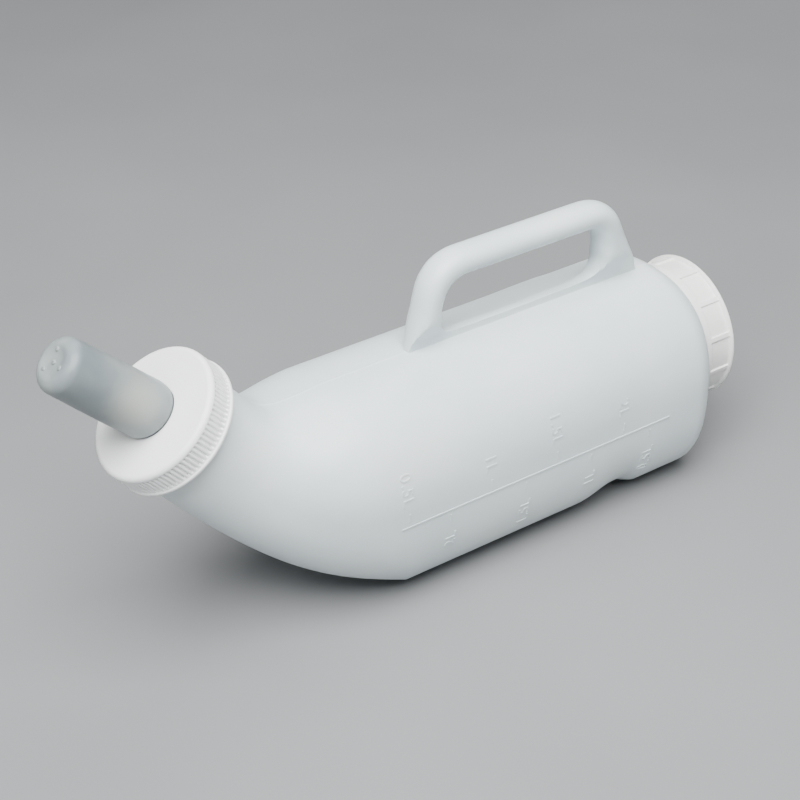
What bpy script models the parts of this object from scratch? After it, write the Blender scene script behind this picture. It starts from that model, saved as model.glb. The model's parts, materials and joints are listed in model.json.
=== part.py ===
"""Calf feeding bottle: blow-moulded body with a carrying handle, screw-on teat and rear filling cap.

The bottle lies on its flat underside. +X points to the rear cap, the teat points to -X and up,
and the mould's parting plane is y = 0. Both screw fittings have real right-hand threads.
Stations along the bottle are given as distances ahead of the rear cap's outer face (minus X) and
heights above the rear cap's axis, and at() moves them to the part's own frame. Lengths in metres.
"""
import math

import bmesh
import bpy
from mathutils import Matrix, Vector

# Where the design's datum lies in the part's frame.
REAR_X = 0.19765
AXIS_Z = 0.0665

# Body
BODY_HALF_WIDTH = 0.0562
BODY_TOP = 0.0513
BODY_BOTTOM = -AXIS_Z
TOP_SQUARENESS = 2.35
LOW_SQUARENESS = 2.87
BODY_FLATTENING = 0.025
BODY_WALL = 0.0016
BORE_OVERRUN = 0.0040
BELLY_START = 0.2248
BACK_START = 0.2500
REAR_WALL = 0.0225
REAR_ROUNDING = 0.0164
RING_POINTS = 44
BEND_STATIONS = 12

# Curves that carry the neck into the body: how far their ends lead along the neck and the body
BEND_TOP_LEAD = 0.0240
BEND_TOP_TRAIL = (0.0340, 0.0040)
BEND_LOW_LEAD = 0.0930
BEND_LOW_TRAIL = 0.0561
BEND_LOW_SLOPE = math.radians(24.4)
BEND_SQUARING = 0.59

# Shallow grip recess across the underside
RECESS_START = 0.1115
RECESS_FLAT_START = 0.0874
RECESS_FLAT_END = 0.0795
RECESS_END = 0.0708
RECESS_DEPTH = 0.0058

# Handle, a closed loop round the hand slot: corners of its outer and slot outlines, and how far
# along the sides before and after each corner its rounding reaches, from the front foot over the top
HANDLE_OUTLINE = ((0.1988, 0.0430), (0.1840, 0.1022), (0.0643, 0.1022), (0.0390, 0.0430))
HANDLE_ROUNDING = ((0.001, 0.001), (0.022, 0.022), (0.018, 0.016), (0.001, 0.001))
SLOT_OUTLINE = ((0.1792, 0.0556), (0.1738, 0.0876), (0.0722, 0.0876), (0.0698, 0.0556))
SLOT_ROUNDING = ((0.016, 0.014), (0.014, 0.013), (0.009, 0.010), (0.015, 0.023))
HANDLE_HALF_WIDTH = 0.0094
HANDLE_HALF_DEPTH = 0.0077
HANDLE_SQUARENESS = 2.15
HANDLE_CORNER_STEPS = 5
HANDLE_SIDE_STEPS = (2, 2, 2, 2)
HANDLE_SECTION_STEPS = 7
HANDLE_WALL = 0.0018
HANDLE_BORE_POINTS = 12
HANDLE_BORE_MIN = 0.0006
HANDLE_BORE_DIVE = 0.0160

# Half of the width that the mould leaves between the handle's feet, which grows with height
PINCH_HALF = 0.0021
PINCH_FROM = 0.0545
PINCH_SLOPE = 0.56
PINCH_EASE = 0.0006

# Screw fittings
THREAD_PITCH = 0.0045
THREAD_BASE = 0.0020
THREAD_CREST = 0.0010
THREAD_SINK = 0.0004
NECK_THREAD_TURNS = 1.25
THREAD_STEPS = 32
TURNED_STEPS = 48
SEAT_GAP = 0.0003

# Tilted front neck, teat and collar
NECK_TILT = math.radians(49.9)
COLLAR_FACE = (0.3428, 0.0704)
FRONT_NECK_RADIUS = 0.0310
FRONT_BORE_RADIUS = 0.0285
FRONT_THREAD_CREST = 0.0323
FRONT_THREAD_START = -0.0132
FRONT_NECK_END = 0.0290
FRONT_BORE_STRAIGHT = 0.0260
COLLAR_RADIUS = 0.0360
COLLAR_LIP_RADIUS = 0.0365
COLLAR_DEPTH = 0.0166
COLLAR_FACE_WALL = 0.0025
COLLAR_EDGE = ((0.0028, 0.0), (0.0012, 0.0005), (0.0002, 0.0018), (0.0, 0.0030))
COLLAR_LIP_HEIGHT = 0.0020
COLLAR_LIP_SLOPE = 0.0002
COLLAR_BORE = 0.0332
COLLAR_HOLE_GAP = 0.0004
COLLAR_THREAD_CREST = 0.0317
COLLAR_RIBS = 90
COLLAR_RIB_HEIGHT = 0.0008
COLLAR_RIB_CREST = 0.0358
COLLAR_RIB_INNER = 0.0339
COLLAR_RIB_SINK = 0.0005
TEAT_ROOT_RADIUS = 0.0130
TEAT_LENGTH = 0.0634
TEAT_LEAN = math.radians(5.4)
TEAT_LEAN_OVER = 0.0060
TEAT_FLANGE_RADIUS = 0.0305
TEAT_FLANGE = 0.0025
TEAT_POINTS = 32
TEAT_OUTER_HOLES = 3
TEAT_HOLE_CIRCLE = 0.0060
TEAT_HOLE_RADIUS = 0.0007
TEAT_HOLE_REACH = (-0.0060, 0.0020)

# The teat's outer and inner outlines: radius and height above the collar's face up to the crown,
# then radius and depth below the tip
TEAT_SIDE = ((0.0130, 0.0004), (0.0141, 0.0024), (0.0150, 0.0060), (0.0149, 0.0240), (0.0146, 0.0400))
TEAT_CROWN = ((0.0142, 0.0058), (0.0134, 0.0029), (0.0113, 0.0008), (0.0084, 0.0), (0.0068, 0.0004),
              (0.0050, 0.0008))
TEAT_BORE_SIDE = ((0.0106, 0.0010), (0.0126, 0.0070), (0.0122, 0.0400))
TEAT_BORE_CROWN = ((0.0115, 0.0088), (0.0098, 0.0056), (0.0070, 0.0042))

# Rear neck, cap and seal
REAR_NECK_RADIUS = 0.0366
REAR_BORE_RADIUS = 0.0340
REAR_THREAD_CREST = 0.0379
REAR_THREAD_START = -0.0150
CAP_RADIUS = 0.0410
CAP_RIM_RADIUS = 0.0420
CAP_PANEL_RADIUS = 0.0402
CAP_PANEL_END = 0.0156
CAP_DEPTH = 0.0214
CAP_END_WALL = 0.0022
CAP_BORE = 0.0389
CAP_THREAD_CREST = 0.0374
CAP_BARS = 12
CAP_BAR_PHASE = math.radians(12)
CAP_BAR_WIDTH = 0.0024
CAP_BAR_DEPTH = 0.0016
CAP_BAR_TOP = -0.0008
CAP_BAR_MARGIN = 0.0012

# The cap's outline in radius and height, from the middle of its end to the step of its skirt, and
# round the skirt's open edge
CAP_END = ((0.0, -0.0008), (0.0360, -0.0008), (0.0366, 0.0), (0.0412, 0.0), (CAP_RIM_RADIUS, -0.0006),
           (CAP_RIM_RADIUS, -0.0016), (CAP_PANEL_RADIUS, -0.0022), (CAP_PANEL_RADIUS, -0.0150),
           (CAP_RADIUS, -CAP_PANEL_END))
CAP_SKIRT = ((0.0406, -0.0206), (0.0400, -CAP_DEPTH), (CAP_BORE, -CAP_DEPTH), (CAP_BORE, -CAP_END_WALL),
             (0.0, -CAP_END_WALL))
SEAL_THICKNESS = 0.0016
SEAL_OUTER = 0.0370
SEAL_INNER = 0.0325

COLLECTION = "calf_feeding_bottle"
NECK_AXIS = Vector((-math.cos(NECK_TILT), 0.0, math.sin(NECK_TILT)))
NECK_UP = Vector((math.sin(NECK_TILT), 0.0, math.cos(NECK_TILT)))
ACROSS = Vector((0.0, 1.0, 0.0))
OUTWARD = Vector((1.0, 0.0, 0.0))


def at(ahead, height):
    """A point on the parting plane, ahead of the rear cap's face and above its axis."""
    return Vector((REAR_X - ahead, 0.0, AXIS_Z + height))


# ---------------------------------------------------------------- scene helpers

def clear_scene():
    for obj in list(bpy.data.objects):
        bpy.data.objects.remove(obj, do_unlink=True)


def new_collection(name):
    collection = bpy.data.collections.new(name)
    bpy.context.scene.collection.children.link(collection)
    return collection


def material(name, color, roughness, alpha=1.0):
    made = bpy.data.materials.new(name)
    made.use_nodes = True
    shader = made.node_tree.nodes["Principled BSDF"]
    shader.inputs["Base Color"].default_value = (*color, 1.0)
    shader.inputs["Roughness"].default_value = roughness
    shader.inputs["Metallic"].default_value = 0.0
    shader.inputs["Alpha"].default_value = alpha
    return made


def link(obj, collection, finish=None):
    collection.objects.link(obj)
    if finish:
        obj.data.materials.append(finish)
    return obj


def object_from(mesh, name):
    """Turn a finished bmesh into a new object, with its faces pointing out."""
    bmesh.ops.recalc_face_normals(mesh, faces=mesh.faces)
    data = bpy.data.meshes.new(name)
    mesh.to_mesh(data)
    mesh.free()
    return bpy.data.objects.new(name, data)


def hide_cutter(obj):
    obj.hide_render = True
    obj.display_type = "WIRE"


def boolean(obj, tool, operation):
    modifier = obj.modifiers.new(tool.name, "BOOLEAN")
    modifier.operation = operation
    modifier.solver = "EXACT"
    modifier.object = tool


def place(obj, origin, axis):
    """Stand a piece that was turned about its own Z with that axis along the given one."""
    obj.location = origin
    obj.rotation_mode = "QUATERNION"
    obj.rotation_quaternion = axis.to_track_quat("Z", "Y")


# ---------------------------------------------------------------- shapes

def loft(name, rings, closed=False):
    """Skin rings that have the same number of points, and close both ends or join them up."""
    mesh = bmesh.new()
    rows = [[mesh.verts.new(point) for point in ring] for ring in rings]
    count = len(rows[0])
    following = rows[1:] + rows[:1] if closed else rows[1:]
    for near, far in zip(rows, following):
        for i in range(count):
            j = (i + 1) % count
            mesh.faces.new((near[i], near[j], far[j], far[i]))
    if not closed:
        mesh.faces.new(rows[0])
        mesh.faces.new(rows[-1])
    return object_from(mesh, name)


def section(top, bottom, half_width, upper=2.0, lower=2.0, flattening=0.0, points=RING_POINTS):
    """A ring through two points of the parting plane; 2 is round, and more is squarer."""
    centre = (top + bottom) / 2
    rise = (top - bottom) / 2
    ring = []
    for i in range(points):
        angle = 2 * math.pi * (i + 0.5) / points
        power = 2 / (upper if math.sin(angle) > 0 else lower)
        side = math.copysign(abs(math.cos(angle)) ** power, math.cos(angle))
        up = math.copysign(abs(math.sin(angle)) ** power, math.sin(angle))
        up = max(-1.0, up * (1 + flattening)) if up < 0 else up
        ring.append(centre + ACROSS * side * half_width + rise * up)
    return ring


def circle_section(centre, up, radius, points=RING_POINTS):
    return section(centre + up * radius, centre - up * radius, radius, points=points)


def turned(name, profile, steps=TURNED_STEPS):
    """A turned solid about Z from a closed (radius, height) outline, outer side drawn downwards."""
    mesh = bmesh.new()
    verts = [mesh.verts.new((radius, 0.0, height)) for radius, height in profile]
    for first, second in zip(verts, verts[1:]):
        mesh.edges.new((first, second))
    if profile[0][0] > 0:
        mesh.edges.new((verts[-1], verts[0]))
    data = bpy.data.meshes.new(name)
    mesh.to_mesh(data)
    mesh.free()
    obj = bpy.data.objects.new(name, data)
    screw = obj.modifiers.new("turn", "SCREW")
    screw.axis = "Z"
    screw.steps = steps
    screw.render_steps = steps
    screw.use_merge_vertices = True
    screw.merge_threshold = 0.00001
    screw.use_smooth_shade = False
    return obj


def thread_ridge(name, root, crest, low_end, turns):
    """A right-hand helical ridge about Z, rooted in its wall and fading out at both ends."""
    steps = round(turns * THREAD_STEPS)
    rings = []
    for i in range(steps + 1):
        angle = 2 * math.pi * i / THREAD_STEPS
        height = low_end + THREAD_PITCH * i / THREAD_STEPS
        fade = min(1.0, (0.3 + i) / 3, (0.3 + steps - i) / 3)
        outer = root + (crest - root) * fade
        corners = ((root, -THREAD_BASE), (outer, -THREAD_CREST), (outer, THREAD_CREST), (root, THREAD_BASE))
        rings.append([(radius * math.cos(angle), radius * math.sin(angle), height + offset / 2)
                      for radius, offset in corners])
    return loft(name, rings)


def rod(name, radius, low, high, x, y, sides=8):
    mesh = bmesh.new()
    bmesh.ops.create_cone(mesh, cap_ends=True, segments=sides, radius1=radius, radius2=radius,
                          depth=high - low)
    bmesh.ops.translate(mesh, verts=mesh.verts, vec=(x, y, (low + high) / 2))
    return object_from(mesh, name)


def bezier(start, lead, trail, end, t):
    s = 1 - t
    return start * s ** 3 + lead * 3 * s * s * t + trail * 3 * s * t * t + end * t ** 3


# ---------------------------------------------------------------- body

def bend_sections(wall):
    """Rings that carry the round tilted neck into the wide level body."""
    neck = at(*COLLAR_FACE) - NECK_AXIS * FRONT_NECK_END
    radius = FRONT_NECK_RADIUS
    top = neck + NECK_UP * radius
    bottom = neck - NECK_UP * radius
    back = at(BACK_START, BODY_TOP)
    belly = at(BELLY_START, BODY_BOTTOM)
    back_trail = Vector((BEND_TOP_TRAIL[0], 0, BEND_TOP_TRAIL[1]))
    belly_trail = Vector((math.cos(BEND_LOW_SLOPE), 0, -math.sin(BEND_LOW_SLOPE))) * BEND_LOW_TRAIL
    rings = []
    for i in range(BEND_STATIONS + 1):
        t = i / BEND_STATIONS
        upper = bezier(top, top - NECK_AXIS * BEND_TOP_LEAD, back - back_trail, back, t)
        lower = bezier(bottom, bottom - NECK_AXIS * BEND_LOW_LEAD, belly - belly_trail, belly, t)
        spread = t * t * (3 - 2 * t)
        width = radius + (BODY_HALF_WIDTH - radius) * spread
        across = (upper - lower).normalized() * wall
        rings.append(section(upper - across, lower + across, width - wall, 2 + (TOP_SQUARENESS - 2) * t,
                             2 + (LOW_SQUARENESS - 2) * t ** BEND_SQUARING, BODY_FLATTENING * t))
    return rings


def level_section(ahead, inset, lift=0.0):
    top = at(ahead, BODY_TOP - inset)
    bottom = at(ahead, BODY_BOTTOM + inset + lift)
    return section(top, bottom, BODY_HALF_WIDTH - inset, TOP_SQUARENESS, LOW_SQUARENESS, BODY_FLATTENING)


def body_sections(wall, front_radius, rear_radius, overrun):
    """Every ring from the front mouth to the rear mouth, moved inwards by the wall."""
    mouth = COLLAR_FACE_WALL + TEAT_FLANGE + 2 * SEAT_GAP
    face = at(*COLLAR_FACE)
    rings = [circle_section(face - NECK_AXIS * (mouth - overrun), NECK_UP, front_radius)]
    if wall:
        rings.append(circle_section(face - NECK_AXIS * FRONT_BORE_STRAIGHT, NECK_UP, front_radius))
    rings += bend_sections(wall)
    for ahead, lift in ((RECESS_START, 0), (RECESS_FLAT_START, 1), (RECESS_FLAT_END, 1), (RECESS_END, 0)):
        rings.append(level_section(ahead, wall, lift * RECESS_DEPTH))
    up = Vector((0, 0, 1))
    for i in range(5):
        angle = math.pi / 2 * i / 4
        inset = REAR_ROUNDING * (1 - math.cos(angle))
        ahead = REAR_WALL + wall + REAR_ROUNDING * (1 - math.sin(angle))
        rings.append(level_section(ahead, wall + inset))
    step = at(REAR_WALL + wall, 0)
    rings.append(circle_section(step, up, rear_radius))
    rear_mouth = CAP_END_WALL + SEAL_THICKNESS + 2 * SEAT_GAP
    rings.append(circle_section(at(rear_mouth - overrun, 0), up, rear_radius))
    return rings


def rounded_loop(corners, rounding):
    """An outline through four corners, each eased by a curve that starts and ends along its sides."""
    corners = [Vector(corner) for corner in corners]
    eases = []
    for i, corner in enumerate(corners):
        before = (corners[i - 1] - corner).normalized() * rounding[i][0]
        after = (corners[(i + 1) % 4] - corner).normalized() * rounding[i][1]
        eases.append((corner + before, corner, corner + after))
    points = []
    for i, (start, corner, end) in enumerate(eases):
        for k in range(HANDLE_CORNER_STEPS):
            t = k / HANDLE_CORNER_STEPS
            points.append(start * (1 - t) ** 2 + corner * 2 * t * (1 - t) + end * t ** 2)
        following = eases[(i + 1) % 4][0]
        for k in range(HANDLE_SIDE_STEPS[i]):
            points.append(end.lerp(following, k / HANDLE_SIDE_STEPS[i]))
    return points


def handle_stations():
    """Matching points of the slot's outline and of the handle's, all the way round."""
    return list(zip(rounded_loop(SLOT_OUTLINE, SLOT_ROUNDING), rounded_loop(HANDLE_OUTLINE, HANDLE_ROUNDING)))


def pinch(height):
    return PINCH_HALF + PINCH_SLOPE * max(0.0, height - PINCH_FROM)


def handle_half_width(inner, outer, point):
    depth = min(HANDLE_HALF_DEPTH, (outer - inner).length / 2)
    edge = min((point - inner).length, (outer - point).length)
    short = 1 - min(1.0, edge / depth)
    full = HANDLE_HALF_WIDTH * (1 - short ** HANDLE_SQUARENESS) ** (1 / HANDLE_SQUARENESS)
    limit = pinch(point.y)
    return max(0.0, (full + limit - math.hypot(full - limit, PINCH_EASE)) / 2)


def handle_loop():
    """The handle and the thin ridge below its slot, as one ring with a moulded section."""
    rings = []
    for inner, outer in handle_stations():
        side = []
        for k in range(HANDLE_SECTION_STEPS + 1):
            share = (1 - math.cos(math.pi * k / HANDLE_SECTION_STEPS)) / 2
            point = inner.lerp(outer, share)
            side.append((at(*point), ACROSS * handle_half_width(inner, outer, point)))
        ring = [point - half for point, half in side]
        rings.append(ring + [point + half for point, half in reversed(side[1:-1])])
    return loft("handle", rings, closed=True)


def handle_bore():
    """The hollow inside the bar and legs, narrow where the mould pinches them, open to the body."""
    last = len(handle_stations()) - HANDLE_SIDE_STEPS[3] - HANDLE_CORNER_STEPS
    stations = handle_stations()[HANDLE_CORNER_STEPS:last + 1]
    dive = Vector((0, -HANDLE_BORE_DIVE))
    front_foot = [(inner + dive, outer + dive) for inner, outer in stations[:1]]
    rear_foot = [(inner + dive, outer + dive) for inner, outer in stations[-1:]]
    rings = []
    for inner, outer in front_foot + stations + rear_foot:
        deep = HANDLE_HALF_DEPTH - HANDLE_WALL
        toward = (outer - inner).normalized()
        ring = []
        for k in range(HANDLE_BORE_POINTS):
            angle = 2 * math.pi * k / HANDLE_BORE_POINTS
            point = (inner + outer) / 2 + toward * deep * math.cos(angle)
            wide = max(HANDLE_BORE_MIN, min(HANDLE_HALF_WIDTH, pinch(point.y)) - HANDLE_WALL)
            ring.append(at(*point) + ACROSS * wide * math.sin(angle))
        rings.append(ring)
    return loft("handle_bore", rings)


def make_body(parts, cutters, finish):
    body = loft("bottle_body", body_sections(0.0, FRONT_NECK_RADIUS, REAR_NECK_RADIUS, 0.0))
    front = thread_ridge("front_neck_thread", FRONT_NECK_RADIUS - THREAD_SINK, FRONT_THREAD_CREST,
                         FRONT_THREAD_START, NECK_THREAD_TURNS)
    place(front, at(*COLLAR_FACE), NECK_AXIS)
    rear = thread_ridge("rear_neck_thread", REAR_NECK_RADIUS - THREAD_SINK, REAR_THREAD_CREST,
                        REAR_THREAD_START, NECK_THREAD_TURNS)
    place(rear, at(0, 0), OUTWARD)
    hollow = loft("body_hollow", body_sections(BODY_WALL, FRONT_BORE_RADIUS, REAR_BORE_RADIUS, BORE_OVERRUN))
    for tool in (handle_loop(), front, rear):
        link(tool, cutters)
        hide_cutter(tool)
        boolean(body, tool, "UNION")
    for tool in (hollow, handle_bore()):
        link(tool, cutters)
        hide_cutter(tool)
        boolean(body, tool, "DIFFERENCE")
    link(body, parts, finish)


# ---------------------------------------------------------------- teat and collar

def teat_station(height):
    """Where the teat's axis is at a height above the collar's face, and its up direction there."""
    lean = TEAT_LEAN if height > 0 else 0.0
    bend = TEAT_LEAN * max(0.0, min(1.0, height / TEAT_LEAN_OVER))
    along = NECK_AXIS * math.cos(lean) - NECK_UP * math.sin(lean)
    up = NECK_UP * math.cos(bend) + NECK_AXIS * math.sin(bend)
    return at(*COLLAR_FACE) + along * height, up


def teat_solid(name, outline):
    """A turned shape from (radius, height) pairs, leaning from the collar's face onwards."""
    rings = []
    for radius, height in outline:
        centre, up = teat_station(height)
        rings.append(circle_section(centre, up, radius, TEAT_POINTS))
    return loft(name, rings)


def make_teat(parts, cutters, finish):
    seat = -COLLAR_FACE_WALL - SEAT_GAP
    foot = seat - TEAT_FLANGE
    flange = [(TEAT_FLANGE_RADIUS, foot), (TEAT_FLANGE_RADIUS, seat), (TEAT_ROOT_RADIUS, seat)]
    crown = [(radius, TEAT_LENGTH - depth) for radius, depth in TEAT_CROWN]
    teat = teat_solid("teat", flange + list(TEAT_SIDE) + crown)
    mouth = [(TEAT_BORE_SIDE[0][0], foot - BORE_OVERRUN)]
    bore_crown = [(radius, TEAT_LENGTH - depth) for radius, depth in TEAT_BORE_CROWN]
    hollow = teat_solid("teat_hollow", mouth + list(TEAT_BORE_SIDE) + bore_crown)
    cuts = [hollow]
    centre, up = teat_station(TEAT_LENGTH)
    axis = up.cross(ACROSS)
    spots = [(0.0, 0.0)]
    for i in range(TEAT_OUTER_HOLES):
        angle = 2 * math.pi * i / TEAT_OUTER_HOLES
        spots.append((TEAT_HOLE_CIRCLE * math.cos(angle), TEAT_HOLE_CIRCLE * math.sin(angle)))
    for i, (x, y) in enumerate(spots):
        hole = rod(f"teat_hole_{i + 1}", TEAT_HOLE_RADIUS, *TEAT_HOLE_REACH, x, y)
        place(hole, centre, axis)
        cuts.append(hole)
    for cut in cuts:
        link(cut, cutters)
        hide_cutter(cut)
        boolean(teat, cut, "DIFFERENCE")
    link(teat, parts, finish)


def rib_band(name, ribs, root, crest, inner, low, high):
    """A ring whose outside is fine upright ribs."""
    mesh = bmesh.new()
    outline = []
    for i in range(4 * ribs):
        radius = crest if i % 4 < 2 else root
        angle = 2 * math.pi * i / (4 * ribs)
        outline.append((radius * math.cos(angle), radius * math.sin(angle)))
    rows = []
    for height in (low, high):
        rows.append([mesh.verts.new((x, y, height)) for x, y in outline])
    hole = []
    for height in (low, high):
        hole.append([mesh.verts.new((inner * math.cos(a), inner * math.sin(a), height))
                     for a in (2 * math.pi * i / ribs for i in range(ribs))])
    for i in range(4 * ribs):
        j = (i + 1) % (4 * ribs)
        mesh.faces.new((rows[0][i], rows[0][j], rows[1][j], rows[1][i]))
    for i in range(ribs):
        j = (i + 1) % ribs
        mesh.faces.new((hole[0][j], hole[0][i], hole[1][i], hole[1][j]))
        for row, ring in zip(rows, hole):
            outer = [row[(4 * i + k) % (4 * ribs)] for k in range(5)]
            mesh.faces.new(outer + [ring[j], ring[i]])
    return object_from(mesh, name)


def make_collar(parts, cutters, finish):
    hole = TEAT_ROOT_RADIUS + COLLAR_HOLE_GAP
    skirt = COLLAR_RADIUS - 2 * COLLAR_RIB_HEIGHT
    lip_top = COLLAR_LIP_HEIGHT - COLLAR_DEPTH
    profile = [(hole, 0)] + [(COLLAR_RADIUS - inset, -drop) for inset, drop in COLLAR_EDGE]
    profile += [(skirt, -COLLAR_EDGE[-1][1]), (skirt, lip_top + COLLAR_LIP_SLOPE),
                (COLLAR_LIP_RADIUS, lip_top), (COLLAR_LIP_RADIUS, -COLLAR_DEPTH), (COLLAR_BORE, -COLLAR_DEPTH),
                (COLLAR_BORE, -COLLAR_FACE_WALL), (hole, -COLLAR_FACE_WALL)]
    collar = turned("teat_collar", profile)
    place(collar, at(*COLLAR_FACE), NECK_AXIS)
    ribs = rib_band("collar_ribs", COLLAR_RIBS, COLLAR_RIB_CREST - COLLAR_RIB_HEIGHT, COLLAR_RIB_CREST,
                    COLLAR_RIB_INNER, lip_top - COLLAR_RIB_SINK, COLLAR_RIB_SINK - COLLAR_EDGE[-1][1])
    ridge = thread_ridge("collar_thread", COLLAR_BORE + THREAD_SINK, COLLAR_THREAD_CREST,
                         FRONT_THREAD_START - THREAD_PITCH / 2, 1.0)
    for tool in (ribs, ridge):
        place(tool, at(*COLLAR_FACE), NECK_AXIS)
        link(tool, cutters)
        hide_cutter(tool)
        boolean(collar, tool, "UNION")
    link(collar, parts, finish)


# ---------------------------------------------------------------- rear cap and seal

def grip_bar(name, angle):
    """One narrow grip bar across a panel of the cap's skirt, turned to its place about Z."""
    mesh = bmesh.new()
    bmesh.ops.create_cube(mesh, size=1.0)
    length = CAP_PANEL_END - CAP_BAR_MARGIN
    bmesh.ops.scale(mesh, verts=mesh.verts, vec=(CAP_BAR_DEPTH, CAP_BAR_WIDTH, length))
    middle = (CAP_RADIUS - CAP_BAR_DEPTH / 2, 0, CAP_BAR_TOP - length / 2)
    bmesh.ops.translate(mesh, verts=mesh.verts, vec=middle)
    bmesh.ops.rotate(mesh, verts=mesh.verts, cent=(0, 0, 0), matrix=Matrix.Rotation(angle, 3, "Z"))
    return object_from(mesh, name)


def make_cap(parts, cutters, finish):
    cap = turned("rear_cap", CAP_END + CAP_SKIRT)
    place(cap, at(0, 0), OUTWARD)
    tools = [thread_ridge("cap_thread", CAP_BORE + THREAD_SINK, CAP_THREAD_CREST,
                          REAR_THREAD_START - THREAD_PITCH / 2, 1.0)]
    for i in range(CAP_BARS):
        tools.append(grip_bar(f"cap_bar_{i + 1}", CAP_BAR_PHASE + 2 * math.pi * i / CAP_BARS))
    for tool in tools:
        place(tool, at(0, 0), OUTWARD)
        link(tool, cutters)
        hide_cutter(tool)
        boolean(cap, tool, "UNION")
    link(cap, parts, finish)


def make_seal(parts, finish):
    top = -CAP_END_WALL - SEAT_GAP
    profile = [(SEAL_INNER, top), (SEAL_OUTER, top), (SEAL_OUTER, top - SEAL_THICKNESS),
               (SEAL_INNER, top - SEAL_THICKNESS)]
    seal = turned("rear_cap_seal", profile)
    place(seal, at(0, 0), OUTWARD)
    link(seal, parts, finish)


def main():
    clear_scene()
    parts = new_collection(COLLECTION)
    cutters = new_collection("cutters")
    milky = material("natural_polyethylene", (0.80, 0.84, 0.85), 0.38)
    white = material("white_plastic", (0.86, 0.87, 0.87), 0.42)
    silicone = material("silicone", (0.62, 0.66, 0.67), 0.30)
    rubber = material("seal_rubber", (0.75, 0.74, 0.70), 0.60)
    make_body(parts, cutters, milky)
    make_teat(parts, cutters, silicone)
    make_collar(parts, cutters, white)
    make_cap(parts, cutters, white)
    make_seal(parts, rubber)


main()
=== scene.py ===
import json
import math

import bmesh
import bpy
from mathutils import Matrix, Vector
from mathutils.bvhtree import BVHTree


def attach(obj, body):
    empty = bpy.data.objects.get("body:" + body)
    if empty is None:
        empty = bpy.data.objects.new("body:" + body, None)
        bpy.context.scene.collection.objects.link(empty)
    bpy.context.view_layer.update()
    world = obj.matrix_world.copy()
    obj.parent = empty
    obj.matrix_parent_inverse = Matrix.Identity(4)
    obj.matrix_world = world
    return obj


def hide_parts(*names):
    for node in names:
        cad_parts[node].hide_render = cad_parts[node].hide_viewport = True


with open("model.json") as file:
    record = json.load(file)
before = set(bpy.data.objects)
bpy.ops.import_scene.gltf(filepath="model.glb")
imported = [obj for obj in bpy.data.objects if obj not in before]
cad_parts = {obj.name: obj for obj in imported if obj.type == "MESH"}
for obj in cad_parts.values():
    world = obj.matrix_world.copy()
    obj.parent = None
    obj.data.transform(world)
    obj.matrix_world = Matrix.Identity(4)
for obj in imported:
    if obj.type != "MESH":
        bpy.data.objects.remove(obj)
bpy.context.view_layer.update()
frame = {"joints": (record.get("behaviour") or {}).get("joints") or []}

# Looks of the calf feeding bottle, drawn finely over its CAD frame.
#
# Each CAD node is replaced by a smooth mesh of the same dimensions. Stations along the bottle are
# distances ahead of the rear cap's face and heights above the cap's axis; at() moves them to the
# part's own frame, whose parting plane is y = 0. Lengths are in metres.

JOINTS = {joint["name"]: joint for joint in frame["joints"]}

# Datums read from the frame
REAR_X, _, AXIS_Z = JOINTS["rear_cap_turn"]["pos_m"]
COLLAR_FACE = Vector(JOINTS["collar_turn"]["pos_m"])
NECK_AXIS = Vector(JOINTS["collar_turn"]["axis"]).normalized()
ACROSS = Vector((0.0, 1.0, 0.0))
UP = Vector((0.0, 0.0, 1.0))
OUTWARD = Vector((1.0, 0.0, 0.0))
NECK_UP = NECK_AXIS.cross(ACROSS) * -1

# Body
BODY_HALF_WIDTH = 0.0562
BODY_TOP = 0.0513
BODY_BOTTOM = -AXIS_Z
TOP_SQUARENESS = 2.35
LOW_SQUARENESS = 2.87
BODY_FLATTENING = 0.025
BODY_WALL = 0.0016
BELLY_START = 0.2248
BACK_START = 0.2500
REAR_WALL = 0.0225
REAR_ROUNDING = 0.0164
BEND_TOP_LEAD = 0.0240
BEND_TOP_TRAIL = (0.0340, 0.0040)
BEND_LOW_LEAD = 0.0930
BEND_LOW_TRAIL = 0.0561
BEND_LOW_SLOPE = math.radians(24.4)
BEND_SQUARING = 0.59
RECESS_DEPTH = 0.0058
RECESS_ENDS = (0.1115, 0.0874, 0.0795, 0.0708)
BASE_EASE = 0.03
RING_POINTS = 150
BEND_STATIONS = 44
BODY_STATIONS = 42
REAR_ROUNDING_STEPS = 12
HOLLOW_OVERRUN = 0.004
PARTING_RIDGE = 0.00026
PARTING_ANGLES = tuple(math.radians(a) for a in (0.0, 0.40, 0.80, 1.30))

# Handle, a closed loop round the hand slot: corners of its outer and slot outlines and how far
# along each side their rounding reaches, from the front foot over the top to the rear foot
HANDLE_OUTLINE = ((0.1988, 0.0430), (0.1840, 0.1022), (0.0643, 0.1022), (0.0390, 0.0430))
HANDLE_ROUNDING = ((0.001, 0.001), (0.022, 0.022), (0.018, 0.016), (0.001, 0.001))
SLOT_OUTLINE = ((0.1792, 0.0556), (0.1738, 0.0876), (0.0722, 0.0876), (0.0698, 0.0556))
SLOT_ROUNDING = ((0.016, 0.014), (0.014, 0.013), (0.009, 0.010), (0.015, 0.023))
HANDLE_HALF_WIDTH = 0.0094
HANDLE_HALF_DEPTH = 0.0077
HANDLE_SQUARENESS = 2.15
PINCH_HALF = 0.0021
PINCH_FROM = 0.0545
PINCH_SLOPE = 0.56
PINCH_EASE = 0.0012
WIDTH_EASE = 0.0006
HANDLE_WALL = 0.0018
HANDLE_BORE_MIN = 0.0006
HANDLE_BORE_DIVE = 0.016
HANDLE_BORE_POINTS = 24
LOOP_SIDE_STEPS = (9, 26, 9, 22)
LOOP_CORNER_STEPS = 18
LOOP_HALF_POINTS = 18

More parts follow.
